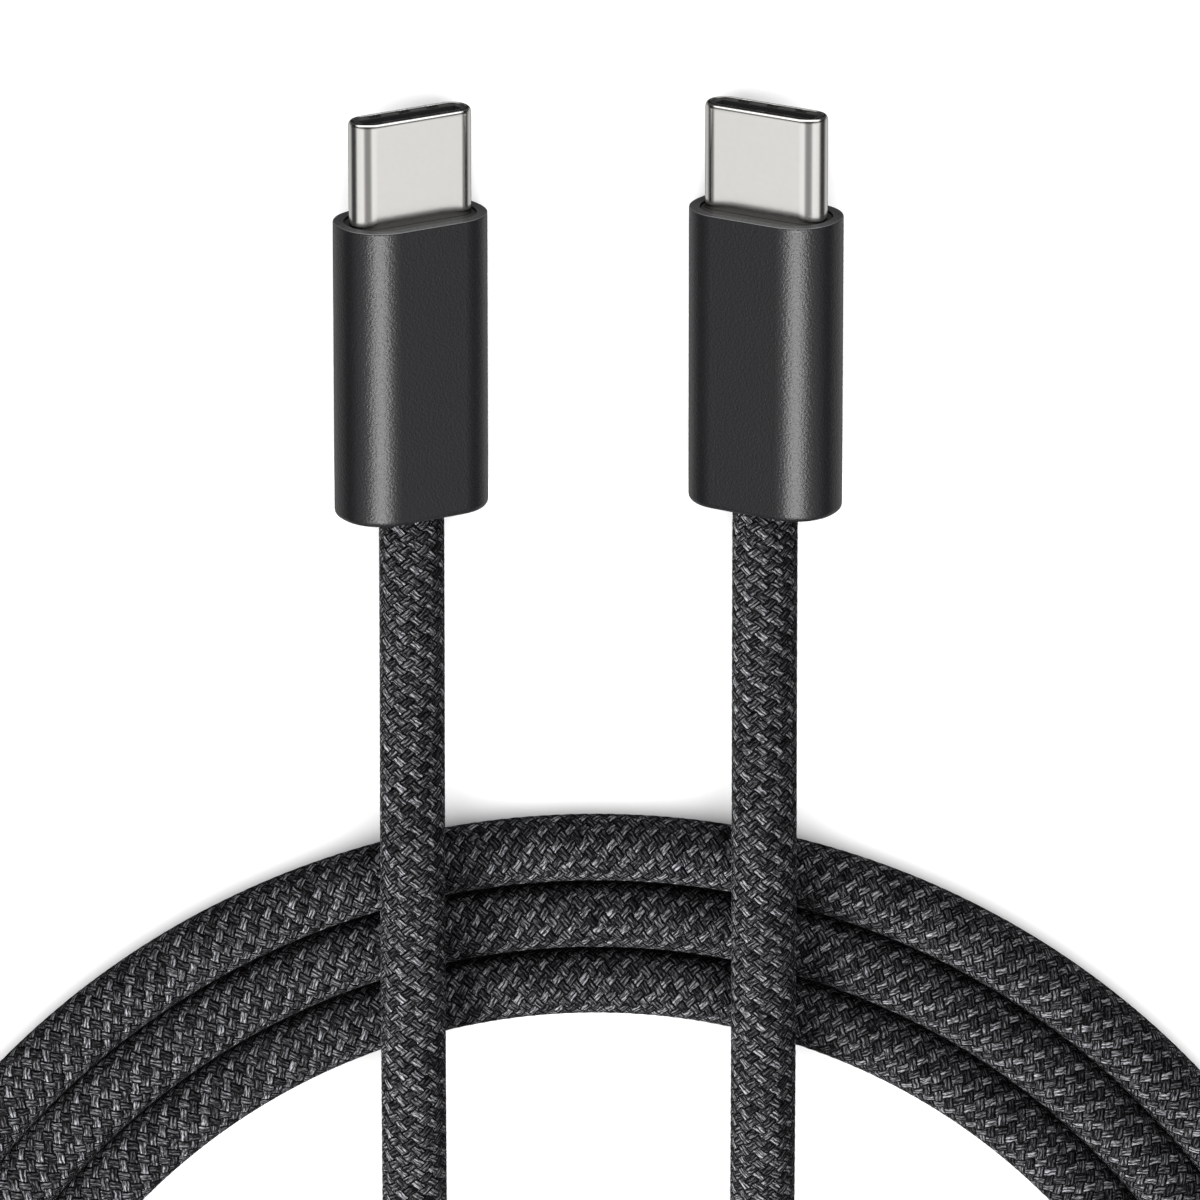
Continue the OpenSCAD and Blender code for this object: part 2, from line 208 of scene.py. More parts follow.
def turn_point(degrees, lane):
    """A point of the turn in that lane, by the angle of the turn's outward normal."""
    phi = math.radians(degrees)
    out, up = math.cos(phi), math.sin(phi)
    side = 1 if out >= 0 else -1
    pitch = TURN_PITCH * (1 + (ARC_STRETCH - 1) * max(0, up) ** 2)
    if ARC_NORMAL <= phi <= math.pi - ARC_NORMAL:
        tall = ARC_RADIUS * ARC_STRETCH
        reach = math.hypot(ARC_RADIUS * out, tall * up)
        x = ARC_RADIUS ** 2 * out / reach
        y = ARC_Y + tall ** 2 * up / reach
    elif 0 < phi < math.pi:
        x = side * (TURN_HALF_WIDTH - SHOULDER_RADIUS) + SHOULDER_RADIUS * out
        y = SHOULDER_Y + SHOULDER_RADIUS * up
    else:
        x = side * (TURN_HALF_WIDTH - CORNER_RADIUS) + CORNER_RADIUS * out
        y = TURN_BOTTOM + CORNER_RADIUS * (1 + up)
    return (COIL_X + x + lane * pitch * out, y + lane * pitch * up, CORD_Z)


def side_points(side, lane):
    """Both ends of the straight side at +X (side 1) or -X (side -1), from the bottom up."""
    x = COIL_X + side * (TURN_HALF_WIDTH + lane * TURN_PITCH)
    return [(x, y, CORD_Z) for y in (TURN_BOTTOM + CORNER_RADIUS, SHOULDER_Y)]


def bottom_point(x, lane):
    return (x, TURN_BOTTOM - lane * TURN_PITCH, CORD_Z)


def coil_points():
    """The turns from the inner one out. Each moves out by a lane on its last corner."""
    points = []
    for turn in range(TURNS):
        lane = turn - 1                  # the middle turn's lane is 0
        last = turn == TURNS - 1
        if turn:
            points.append(bottom_point(COIL_X + TURN_HALF_WIDTH - CORNER_RADIUS, lane))
        end = LEAVE_AT if last else 270
        for degrees in np.arange(TURN_STEP - 90, end + TURN_STEP / 2, TURN_STEP):
            if degrees == 0:
                points += side_points(1, lane)
            elif degrees == 180:
                points += reversed(side_points(-1, lane))
            elif degrees > SHIFT_FROM:
                share = (degrees - SHIFT_FROM) / (270 - SHIFT_FROM)
                points.append(turn_point(degrees, lane + smooth(share * SHIFT_AT_CORNER)))
            else:
                points.append(turn_point(degrees, lane))
        if not last:
            points.append(bottom_point(COIL_X, lane + smooth(SHIFT_AT_BOTTOM)))
    return points


def catmull_rom(points, spacing):
    """A smooth curve through the points, sampled about every spacing, and the sample at each."""
    p = [np.array(q, float) for q in points]
    p = [2 * p[0] - p[1]] + p + [2 * p[-1] - p[-2]]
    curve, at = [], []
    for i in range(1, len(p) - 2):
        p0, p1, p2, p3 = p[i - 1:i + 3]
        t1 = np.linalg.norm(p1 - p0) ** 0.5
        t2 = t1 + np.linalg.norm(p2 - p1) ** 0.5
        t3 = t2 + np.linalg.norm(p3 - p2) ** 0.5
        count = max(2, int(np.linalg.norm(p2 - p1) / spacing))
        at.append(len(curve))
        for t in np.linspace(t1, t2, count, endpoint=False):
            a1 = (t1 - t) / t1 * p0 + t / t1 * p1
            a2 = (t2 - t) / (t2 - t1) * p1 + (t - t1) / (t2 - t1) * p2
            a3 = (t3 - t) / (t3 - t2) * p2 + (t - t2) / (t3 - t2) * p3
            b1 = (t2 - t) / t2 * a1 + t / t2 * a2
            b2 = (t3 - t) / (t3 - t1) * a2 + (t - t1) / (t3 - t1) * a3
            curve.append((t2 - t) / (t2 - t1) * b1 + (t - t1) / (t2 - t1) * b2)
    at.append(len(curve))
    curve.append(p[-2])
    return np.array(curve), at


class Route:
    """The cord's middle line at even steps, with a frame at each that doesn't twist."""

    def __init__(self):
        points = ROUTE_A + coil_points() + ROUTE_B
        curve, at = catmull_rom(points, CURVE_STEP)
        run = np.concatenate([[0], np.cumsum(np.linalg.norm(np.diff(curve, axis=0), axis=1))])
        self.length = run[-1]
        self.flex_a = run[at[FLEX_END]]
        self.flex_b = run[at[len(points) - 1 - FLEX_END]]
        count = round(self.length / (BRAID_PITCH / RINGS_PER_FLOAT))
        self.s = np.linspace(0, self.length, count + 1)
        self.at = np.stack([np.interp(self.s, run, curve[:, k]) for k in range(3)], axis=1)
        self.find_frames()

    def find_frames(self):
        """Directions across the cord, carried along it without twist."""
        along = np.gradient(self.at, axis=0)
        along /= np.linalg.norm(along, axis=1)[:, None]
        across = np.zeros_like(along)
        across[0] = (1, 0, 0)
        for i in range(1, len(along)):
            v = across[i - 1] - along[i] * (across[i - 1] @ along[i])
            across[i] = v / np.linalg.norm(v)
        self.across = across
        self.up = np.cross(along, across)

    def ring_at(self, run):
        """The number of the ring nearest to that distance from plug a."""
        return int(round(run / self.length * (len(self.s) - 1)))


# ---- The cord's mesh ----

def yarn_height(column, row):
    """Height of the braid, 1 on a float and less in a gap, at a place counted in columns
    round the cord and floats along it. The two sets of yarns lean opposite ways."""
    heights = []
    for family, lean in ((0, 1), (1, -1)):
        x = (column - 0.5 - family + 1) % 2 - 1
        f = (row - lean * x / 2 + 0.5 * family) % 1 - 0.5
        along = f + lean * x
        flank = FLANK_DROP * (np.abs(f) / FLOAT_HALF) ** 4
        heights.append(1 - (along / FLOAT_REACH) ** 2 - flank)
    return np.clip(np.maximum(*heights), -0.5, 1)


def tube_mesh(route, first, last, name):
    """The braided cord from ring first to ring last, with the distance along it as its map."""
    sides = BRAID_COLUMNS * SIDES_PER_COLUMN
    ring = np.arange(first, last + 1)
    column = (np.arange(sides) + 0.5) / SIDES_PER_COLUMN
    angle = column / BRAID_COLUMNS * 2 * math.pi
    height = yarn_height(column[None, :], route.s[ring][:, None] / BRAID_PITCH)
    # the coil is drawn a little thicker than the leads, so that no floor shows between its turns
    from_plug = np.minimum(route.s[ring], route.length - route.s[ring])[:, None]
    swell = COIL_SWELL * np.interp(from_plug, (SWELL_FROM, SWELL_FULL), (0, 1))
    radius = CORD_DIAMETER / 2 + swell + YARN_RELIEF * (height - MEAN_HEIGHT)
    spoke = (np.cos(angle)[None, :, None] * route.across[ring][:, None, :]
             + np.sin(angle)[None, :, None] * route.up[ring][:, None, :])
    verts = (route.at[ring][:, None, :] + radius[:, :, None] * spoke).reshape(-1, 3)
    r = np.arange(last - first)[:, None] * sides
    k = np.arange(sides)[None, :]
    k2 = (k + 1) % sides
    quads = np.stack([r + k, r + k2, r + sides + k2, r + sides + k], axis=-1).reshape(-1, 4)
    mesh = bpy.data.meshes.new(name)
    mesh.vertices.add(len(verts))
    mesh.vertices.foreach_set("co", verts.ravel())
    mesh.loops.add(quads.size)
    mesh.loops.foreach_set("vertex_index", quads.ravel())
    mesh.polygons.add(len(quads))
    mesh.polygons.foreach_set("loop_start", np.arange(0, quads.size, 4))
    mesh.update(calc_edges=True)
    mesh.shade_smooth()
    uv = np.zeros((last - first, sides, 4, 2))
    round_at = (np.arange(sides) + 0.5) / sides
    uv[:, :, 0, 0] = uv[:, :, 3, 0] = round_at
    uv[:, :, 1, 0] = uv[:, :, 2, 0] = round_at + 1 / sides
    uv[:, :, 0, 1] = uv[:, :, 1, 1] = route.s[ring[:-1]][:, None]
    uv[:, :, 2, 1] = uv[:, :, 3, 1] = route.s[ring[1:]][:, None]
    layer = mesh.uv_layers.new(name="cord_uv")
    layer.data.foreach_set("uv", uv.ravel())
    return mesh


def add_object(name, mesh):
    piece = bpy.data.objects.new(name, mesh)
    bpy.context.scene.collection.objects.link(piece)
    return piece


def cord_normals(route):
    """Normals of the cord in one piece, so that its three pieces shade alike where they meet."""
    whole = tube_mesh(route, 0, len(route.s) - 1, "whole_cord")
    normals = np.zeros(len(whole.vertices) * 3, np.float32)
    whole.vertices.foreach_get("normal", normals)
    bpy.data.meshes.remove(whole)
    return normals.reshape(-1, 3)


def make_cord(material):
    """The main cord, and the two short stretches beside the plugs, each a piece of its own."""
    route = Route()
    a = route.ring_at(route.flex_a)
    b = route.ring_at(route.flex_b)
    last = len(route.s) - 1
    normals = cord_normals(route)
    pieces = {}
    sides = BRAID_COLUMNS * SIDES_PER_COLUMN
    for name, first, end in (("cord_flex_a", 0, a), ("cord_main", a, b), ("cord_flex_b", b, last)):
        mesh = tube_mesh(route, first, end, name)
        mesh.normals_split_custom_set_from_vertices(normals[first * sides:(end + 1) * sides])
        mesh.materials.append(material)
        pieces[name] = add_object(name, mesh)
    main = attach(pieces["cord_main"], "cord")
    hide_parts("lead_a", "lead_b", "cord_coil")
    for end, ring, far in (("a", a, 0), ("b", b, last)):
        flex = pieces[f"cord_flex_{end}"]
        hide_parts(f"flex_lead_{end}")
        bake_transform(flex)
    return route, main, [pieces["cord_flex_a"], pieces["cord_flex_b"]]


# ---- Shader helpers ----

class Shader:
    """A node material that is built up call by call."""

    def __init__(self, name, colour, roughness, metallic=0.0, **sockets):
        self.material = bpy.data.materials.new(name)
        self.material.use_nodes = True
        self.material.diffuse_color = (*colour, 1)
        self.tree = self.material.node_tree
        self.bsdf = self.tree.nodes["Principled BSDF"]
        self.bsdf.inputs["Base Color"].default_value = (*colour, 1)
        self.bsdf.inputs["Roughness"].default_value = roughness
        self.bsdf.inputs["Metallic"].default_value = metallic
        for socket, value in sockets.items():
            self.bsdf.inputs[socket.replace("_", " ")].default_value = value

    def node(self, kind, **settings):
        made = self.tree.nodes.new(kind)
        for key, value in settings.items():
            setattr(made, key, value)
        return made

    def feed(self, socket, value):
        """Links an output to a socket, or sets the socket to a number or colour."""
        if isinstance(value, bpy.types.NodeSocket):
            self.tree.links.new(value, socket)
        else:
            socket.default_value = value

    def math(self, operation, *values, clamp=False):
        made = self.node("ShaderNodeMath", operation=operation, use_clamp=clamp)
        for socket, value in zip(made.inputs, values):
            self.feed(socket, value)
        return made.outputs[0]

    def vector(self, x, y, z):
        made = self.node("ShaderNodeCombineXYZ")
        for socket, value in zip(made.inputs, (x, y, z)):
            self.feed(socket, value)
        return made.outputs[0]

    def objects(self):
        """Object coordinates, in metres."""
        return self.node("ShaderNodeTexCoord").outputs["Object"]

    def noise(self, where, scale, detail=2.0, roughness=0.5):
        made = self.node("ShaderNodeTexNoise")
        self.feed(made.inputs["Vector"], where)
        made.inputs["Scale"].default_value = scale
        made.inputs["Detail"].default_value = detail
        made.inputs["Roughness"].default_value = roughness
        return made.outputs["Fac"]

    def random(self, where):
        made = self.node("ShaderNodeTexWhiteNoise", noise_dimensions="3D")
        self.feed(made.inputs["Vector"], where)
        return made.outputs["Value"]

    def fit(self, value, low, high, to_low=0.0, to_high=1.0, kind="LINEAR"):
        """Maps low..high to to_low..to_high, held at the ends."""
        made = self.node("ShaderNodeMapRange", interpolation_type=kind, clamp=True)
        for socket, v in zip(made.inputs, (value, low, high, to_low, to_high)):
            self.feed(socket, v)
        return made.outputs["Result"]

    def mix(self, share, a, b):
        """Colour a where share is 0 and colour b where it is 1."""
        made = self.node("ShaderNodeMix", data_type="RGBA")
        self.feed(made.inputs["Factor"], share)
        for socket, colour in ((made.inputs[6], a), (made.inputs[7], b)):
            self.feed(socket, colour if isinstance(colour, bpy.types.NodeSocket) else (*colour, 1))
        return made.outputs[2]

    def choose(self, share, a, b):
        """Number a where share is 0 and number b where it is 1."""
        made = self.node("ShaderNodeMix", data_type="FLOAT")
        self.feed(made.inputs["Factor"], share)
        self.feed(made.inputs[2], a)
        self.feed(made.inputs[3], b)
        return made.outputs[0]

    def bump(self, height, distance, strength=1.0):
        made = self.node("ShaderNodeBump")
        made.inputs["Strength"].default_value = strength
        made.inputs["Distance"].default_value = distance
        self.feed(made.inputs["Height"], height)
        self.tree.links.new(made.outputs["Normal"], self.bsdf.inputs["Normal"])

    def paint(self, socket, value):
        self.feed(self.bsdf.inputs[socket], value)


# ---- Materials ----

GRAIN_SCALE = 4000.0                     # noise cells to a metre
YARN_DARK = (0.0006, 0.0006, 0.0009)
YARN_PALE = (0.38, 0.385, 0.405)


def braid_family(s, column, row, family, lean):
    """One of the two sets of yarns: its height, and a place that tells its floats apart."""
    from_first = s.math("SUBTRACT", column, 0.5 + family)
    x = s.math("WRAP", from_first, 1.0, -1.0)
    group = s.math("ROUND", s.math("MULTIPLY", s.math("SUBTRACT", from_first, x), 0.5))
    run = s.math("ADD", s.math("MULTIPLY_ADD", x, -0.5 * lean, row), 0.5 * family)
    number = s.math("FLOOR", run)
    f = s.math("SUBTRACT", s.math("SUBTRACT", run, number), 0.5)
    along = s.math("MULTIPLY_ADD", x, float(lean), f)
    arch = s.math("POWER", s.math("MULTIPLY", s.math("ABSOLUTE", along), 1 / FLOAT_REACH), 2.0)
    flank = s.math("POWER", s.math("MULTIPLY", s.math("ABSOLUTE", f), 1 / FLOAT_HALF), 4.0)
    height = s.math("SUBTRACT", 1.0, s.math("MULTIPLY_ADD", flank, FLANK_DROP, arch))
    return {"height": height, "along": along, "f": f, "group": group, "number": number}


def braid_material():
    """Braided nylon: near-black yarns with grey flecks, in bundles of fibres on each float, with
    painted shade and a painted sheen in its colour.
    """
    s = Shader("braided_nylon", (0.03, 0.031, 0.034), 0.55, Specular_IOR_Level=0.03)
    split = s.node("ShaderNodeSeparateXYZ")
    s.feed(split.inputs[0], s.node("ShaderNodeUVMap", uv_map="cord_uv").outputs[0])
    round_at, run = split.outputs[0], split.outputs[1]
    column = s.math("MULTIPLY", round_at, BRAID_COLUMNS)
    # unevenness: the floats are up to a tenth of a row out of place
    uneven = s.vector(s.math("MULTIPLY", round_at, 40.0), s.math("MULTIPLY", run, 2500.0), 0.0)
    shift = s.math("MULTIPLY_ADD", s.noise(uneven, 1.0), 0.2, -0.10)
    row = s.math("ADD", s.math("MULTIPLY", run, 1 / BRAID_PITCH), shift)
    left = braid_family(s, column, row, 0, 1)
    right = braid_family(s, column, row, 1, -1)
    on_right = s.math("GREATER_THAN", right["height"], left["height"])
    top = {key: s.choose(on_right, left[key], right[key]) for key in left}
    # every float has its own tone and every other one is paler; one set of yarns is painted paler
    # too, a painted sheen for how its fibres catch the light
    number = s.math("MULTIPLY_ADD", on_right, 57.0, top["number"])
    own = s.random(s.vector(top["group"], number, on_right))
    count = s.math("ADD", s.math("ADD", top["group"], top["number"]), 1000.0)   # above zero
    even = s.math("LESS_THAN", s.math("MODULO", count, 2.0), 0.5)
    pale = s.math("MULTIPLY_ADD", even, 0.48, 0.22)
    tone_and_sheen = s.math("MULTIPLY", s.math("MULTIPLY_ADD", own, 0.34, pale),
                   s.math("MULTIPLY_ADD", on_right, 0.5, 0.5))
    # bundles of fibres run along the float, flecked with grey; the colour between the bundles is
    # painted darker, a painted shade in their grooves
    place = s.vector(s.math("MULTIPLY_ADD", top["f"], 7.0, s.math("MULTIPLY", own, 31.0)),
                     s.math("MULTIPLY", top["along"], 1.7), s.math("MULTIPLY", number, 7.3))
    wander = s.noise(place, 0.35, 1.0)
    bundle = s.math("MULTIPLY_ADD", top["f"], FIBRE_BUNDLES * math.pi,
                    s.math("MULTIPLY", wander, 4.0))
    ridge_and_groove_shade = s.math("POWER", s.math("COSINE", bundle), 2.0)
    fleck = s.fit(s.noise(place, 1.0, 2.0, 0.7), 0.45, 0.62)
    # painted shade: dark lines where one yarn dives under another, in the gaps between the floats
    apart = s.math("ABSOLUTE", s.math("SUBTRACT", right["height"], left["height"]))
    painted_gap_shade = s.fit(apart, 0.10, 0.62, 0.0, 1.0, "SMOOTHSTEP")
    lit = s.math("MULTIPLY", s.math("MULTIPLY_ADD", fleck, 0.92, 0.08), tone_and_sheen)
    # painted shade between the fibre bundles; the same ridge also raises them in the bump below
    lit = s.math("MULTIPLY", lit, s.math("MULTIPLY_ADD", ridge_and_groove_shade, 0.85, 0.15))
    lit = s.math("MULTIPLY", lit, painted_gap_shade)
    s.paint("Base Color", s.mix(s.math("MULTIPLY", lit, 1.7, clamp=True), YARN_DARK, YARN_PALE))
    s.paint("Roughness", s.fit(fleck, 0, 1, 0.8, 0.6))
    relief = s.math("MULTIPLY_ADD", fleck, 0.12, top["height"])
    s.bump(s.math("MULTIPLY_ADD", ridge_and_groove_shade, 0.20, relief), 0.00026)
    return s.material


def housing_material():
    """Black anodised aluminium with a fine bead-blasted grain."""
    s = Shader("black_anodised", (0.005, 0.0051, 0.0057), 0.31, Specular_IOR_Level=0.27)
    grain = s.noise(s.objects(), 6800.0, 2.0, 0.6)
    s.bump(grain, 0.00004, 0.8)
    patch = s.noise(s.objects(), 260.0, 2.0)
    s.paint("Base Color", s.mix(patch, (0.0042, 0.0043, 0.0048), (0.0055, 0.0056, 0.0063)))
    s.paint("Roughness", s.fit(grain, 0.3, 0.7, 0.29, 0.36))
    return s.material


def steel_material():
    """Bright nickel on drawn steel, evenly polished."""
    s = Shader("bright_nickel", (0.66, 0.652, 0.63), 0.2, 1.0)
    patch = s.noise(s.objects(), 400.0, 2.0)
    s.paint("Base Color", s.mix(patch, (0.655, 0.647, 0.625), (0.668, 0.66, 0.638)))
    s.paint("Roughness", s.fit(s.noise(s.objects(), 3000.0, 2.0), 0.3, 0.7, 0.19, 0.215))
    return s.material


def plain_material(name, colour, roughness, metallic, grain):
    """A moulded, stamped or plated finish: a little colour change, and a fine grain."""
    s = Shader(name, colour, roughness, metallic)
    fine = s.noise(s.objects(), GRAIN_SCALE)
    patch = s.noise(s.objects(), GRAIN_SCALE / 12)
    darker = tuple(c * 0.88 for c in colour)
    s.paint("Base Color", s.mix(patch, darker, colour))
    s.paint("Roughness", s.fit(fine, 0.25, 0.75, roughness * 0.85, roughness * 1.18))
    s.bump(fine, grain)
    return s.material


# Finishes by the record's slot: the material's name, colour, roughness, metallic and grain
FINISHES = {
    "insulator_plastic": ("insulator_black", (0.05, 0.05, 0.051), 0.45, 0.0, 0.000003),
    "contact_gold": ("contact_gold", (0.90, 0.66, 0.28), 0.22, 1.0, 0.000001),
    "spring_steel": ("spring_steel", (0.72, 0.72, 0.70), 0.26, 1.0, 0.000001),
    "board": ("solder_mask", (0.02, 0.12, 0.05), 0.35, 0.0, 0.000004),
    "chip": ("chip_epoxy", (0.018, 0.018, 0.02), 0.55, 0.0, 0.000006),
    "small_parts": ("ceramic_parts", (0.42, 0.27, 0.15), 0.4, 0.0, 0.000003),
    "solder": ("solder_tin", (0.68, 0.69, 0.70), 0.3, 1.0, 0.000006),
    "shield_can": ("tinned_sheet", (0.66, 0.67, 0.67), 0.34, 1.0, 0.000002),
    "mould": ("inner_mould", (0.72, 0.71, 0.66), 0.5, 0.0, 0.000005),
    "ferrule": ("crimp_steel", (0.62, 0.62, 0.61), 0.36, 1.0, 0.000003),
    "braid_shield": ("copper_braid", (0.66, 0.36, 0.22), 0.4, 1.0, 0.00003),
    "grommet_rubber": ("grommet_rubber", (0.014, 0.014, 0.015), 0.7, 0.0, 0.000006),
    "wire_red": ("wire_red", (0.45, 0.02, 0.015), 0.38, 0.0, 0.000003),
    "wire_black": ("wire_black", (0.014, 0.014, 0.014), 0.38, 0.0, 0.000003),
    "wire_blue": ("wire_blue", (0.03, 0.10, 0.42), 0.38, 0.0, 0.000003),
    "wire_green": ("wire_green", (0.03, 0.30, 0.09), 0.38, 0.0, 0.000003),
}

# The slot of each kind of node that stays as the CAD has it, on both plugs
NODE_SLOTS = {
    "insulator": "insulator_plastic", "upper_contacts": "contact_gold",
    "lower_contacts": "contact_gold", "upper_ground_spring": "spring_steel",
    "lower_ground_spring": "spring_steel", "left_latch_spring": "spring_steel",
    "right_latch_spring": "spring_steel", "circuit_board": "board", "marker_chip": "chip",
    "board_parts": "small_parts", "solder_joints": "solder", "upper_shield_can": "shield_can",
    "lower_shield_can": "shield_can", "inner_mould": "mould", "crimp_ferrule": "ferrule",
    "braid_shield_end": "braid_shield", "jacket_end": "grommet_rubber",
    "cord_grommet": "grommet_rubber", "power_wire": "wire_red", "ground_wire": "wire_black",
    "sense_wire": "wire_blue", "data_wires": "wire_green",
}


def dress_nodes():
    """Gives every CAD node that stays its material."""
    made = {slot: plain_material(*finish) for slot, finish in FINISHES.items()}
    for kind, slot in NODE_SLOTS.items():
        for end in ENDS:
            materials = frame["nodes"][f"{kind}_{end}"].data.materials
            materials.clear()
            materials.append(made[slot])


# ---- Plug pieces, in the plug's own frame: Y is 0 at the housing's rear face ----

CORNER_STEPS = 12
SMALLEST_CORNER = 0.00002
SHARP_FROM = math.radians(30)            # edges with a larger bend stay crisp
MERGE_WITHIN = 1e-8
RIM_DEPTH = 0.0001                       # the rim's finish goes that far down its round edge,
RIM_FACING = 0.3                         # on faces whose normal has at least that much of +Y


def outline(width, height, corner):
    """Points round a rectangle with round corners, across X and Z."""
    points = []
    corner = min(corner, height / 2)
    for quarter, (sx, sz) in enumerate(((1, 1), (-1, 1), (-1, -1), (1, -1))):
        for k in range(CORNER_STEPS + 1):
            t = math.pi / 2 * (quarter + k / CORNER_STEPS)
            points.append((sx * (width / 2 - corner) + corner * math.cos(t),
                           sz * (height / 2 - corner) + corner * math.sin(t)))
    return points


def inset(section, by):
    width, height, corner = section
    return outline(width - 2 * by, height - 2 * by, max(corner - by, SMALLEST_CORNER))


def circle_outline(radius):
    return outline(2 * radius, 2 * radius, radius)


def place_plug(end):
    """From the plug's own frame to where it lies: on the housing's box, rolled inwards."""
    low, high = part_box(f"housing_{end}")
    middle = (low + high) / 2
    return (Matrix.Translation((middle.x, low.y, middle.z))
            @ Matrix.Rotation(-ENDS[end] * PLUG_ROLL, 4, "Y"))


def plug_piece(name, end, rings, material, slot, *nodes):
    """A lofted piece of that plug, which stands for the nodes."""
    bm = bmesh.new()
    rows = [[bm.verts.new((x, y, z)) for x, z in points] for y, points in rings]
    for row, next_row in zip(rows, rows[1:] + rows[:1]):
        for k in range(len(row)):
            k2 = (k + 1) % len(row)
            bm.faces.new((row[k], row[k2], next_row[k2], next_row[k]))
    bmesh.ops.remove_doubles(bm, verts=bm.verts, dist=MERGE_WITHIN)
    bmesh.ops.dissolve_degenerate(bm, dist=MERGE_WITHIN, edges=bm.edges)
    bmesh.ops.recalc_face_normals(bm, faces=bm.faces)
    for face in bm.faces:
        face.smooth = True
    for edge in bm.edges:
        edge.smooth = edge.calc_face_angle(0) < SHARP_FROM
    bm.transform(place_plug(end))
    mesh = bpy.data.meshes.new(name)
    bm.to_mesh(mesh)
    bm.free()
    mesh.materials.append(material)
    piece = add_object(name, mesh)
    weighted = piece.modifiers.new("even_flats", "WEIGHTED_NORMAL")
    weighted.keep_sharp = True
    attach(piece, f"plug_{end}")
    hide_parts(*nodes)
    return piece


def housing_rings():
    """A closed sleeve: rounded rear edge, crisp flat rim, hollow inside, cord hole behind."""
    rear, rim_out, rim_in = 0.0004, 0.00009, 0.00005     # radii of its edges
    hold = 0.00004                       # a narrow ring beside each edge keeps the flats flat
    wall, front = HOUSING_WALL, HOUSING_LENGTH
    profile = []
    for k in range(7):
        t = math.pi / 2 * k / 6
        profile.append((rear * (1 - math.cos(t)), rear * (1 - math.sin(t))))
    profile.append((rear + hold, 0))
    profile.append((front - rim_out - hold, 0))
    for k in range(4):
        t = math.pi / 2 * k / 3
        profile.append((front - rim_out * (1 - math.sin(t)), rim_out * (1 - math.cos(t))))
    profile.append((front, wall - rim_in))
    profile.append((front - rim_in, wall))
    profile.append((HOUSING_FLOOR, wall))
    rings = [(y, inset(HOUSING_SECTION, by)) for y, by in profile]
    rings.append((HOUSING_FLOOR, circle_outline(CORD_HOLE_RADIUS)))
    rings.append((HOLE_CHAMFER, circle_outline(CORD_HOLE_RADIUS)))
    rings.append((0, circle_outline(CORD_HOLE_RADIUS + HOLE_CHAMFER)))
    rings.append((0, inset(HOUSING_SECTION, rear + hold)))
    return rings


def shell_rings():
    """A drawn steel tube with a rolled front lip."""
    lip_out, lip_long = 0.00024, 0.00034                 # across the wall and along the tube
    lip_in, hold = 0.00005, 0.00004
    wall, front = SHELL_WALL, SHELL_FRONT
    profile = [(SHELL_REAR, 0), (front - lip_long - hold, 0)]
    for k in range(9):
        t = math.pi / 2 * k / 8
        profile.append((front - lip_long * (1 - math.sin(t)), lip_out * (1 - math.cos(t))))
    for k in range(5):
        t = math.pi / 2 * k / 4
        profile.append((front - lip_in * (1 - math.cos(t)), wall - lip_in * (1 - math.sin(t))))
    profile.append((front - lip_in - hold, wall))
    profile.append((SHELL_REAR, wall))
    return [(y, inset(SHELL_SECTION, by)) for y, by in profile]


def collar_rings():
    """The plastic ring between the shell and the housing, a small step below its rim."""
    edge, front = 0.00006, COLLAR_FRONT
    width, height, corner = HOUSING_SECTION
    cut = 2 * (HOUSING_WALL + FIT_GAP)
    outer = (width - cut, height - cut, corner - cut / 2)
    inner = (SHELL_SECTION[0] + 2 * FIT_GAP, SHELL_SECTION[1] + 2 * FIT_GAP,
             SHELL_SECTION[2] + FIT_GAP)
    return [
        (front - COLLAR_DEPTH, inset(outer, 0)), (front - edge, inset(outer, 0)),
        (front - edge * 0.3, inset(outer, edge * 0.3)), (front, inset(outer, edge)),
        (front, inset(inner, -edge)), (front - edge, inset(inner, 0)),
        (front - COLLAR_DEPTH, inset(inner, 0)),
    ]


def paint_rim(housing, end, rim):
    """Gives the flat rim and its round edge the second material."""
    housing.data.materials.append(rim)
    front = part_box(f"housing_{end}")[1].y - RIM_DEPTH
    for face in housing.data.polygons:
        if face.center.y > front and face.normal.y > RIM_FACING:
            face.material_index = 1


def make_plugs():
    """Housings, shells and collars of both plugs, as finer pieces than the CAD ones."""
    anodised = housing_material()
    rim = plain_material("cut_rim", (0.105, 0.105, 0.107), 0.3, 0.0, 0.000001)
    steel = steel_material()
    plastic = plain_material("collar_plastic", (0.055, 0.054, 0.052), 0.4, 0.0, 0.000004)
    housings, noses = [], []
    for end in ENDS:
        housing = plug_piece(f"plug_housing_{end}", end, housing_rings(), anodised,
                             "housing_metal", f"housing_{end}")
        paint_rim(housing, end, rim)
        housings.append(housing)
        noses.append(plug_piece(f"plug_steel_shell_{end}", end, shell_rings(), steel,
                                "shell_steel", f"plug_shell_{end}"))
        noses.append(plug_piece(f"plug_nose_collar_{end}", end, collar_rings(), plastic,
                                "collar_plastic", f"nose_collar_{end}"))
    return housings, noses


# ---- Floor and light ----

FLOOR_HALF = 3.0
FLOOR_DROP = 0.00008                     # just clears the coil's yarns, which reach below the CAD
LIGHT_AIM = (0, -0.02, 0.004)

# The studio's bands round the Y axis: degrees from overhead, and brightness
STUDIO_BANDS = (
    (0, 0.26), (13, 0.30), (29, 1.0), (62, 0.92), (70, 0.40), (78, 0.04), (102, 0.04),
    (124, 0.55), (150, 0.55), (164, 0.06), (180, 0.06),
)
STUDIO_RADIANCE = 1.25
AHEAD_RADIANCE = 0.12                    # ahead of the plugs, towards +Y
AHEAD_FROM, AHEAD_FULL = -0.02, 0.3      # Y of a direction where the studio starts to fade, and ends


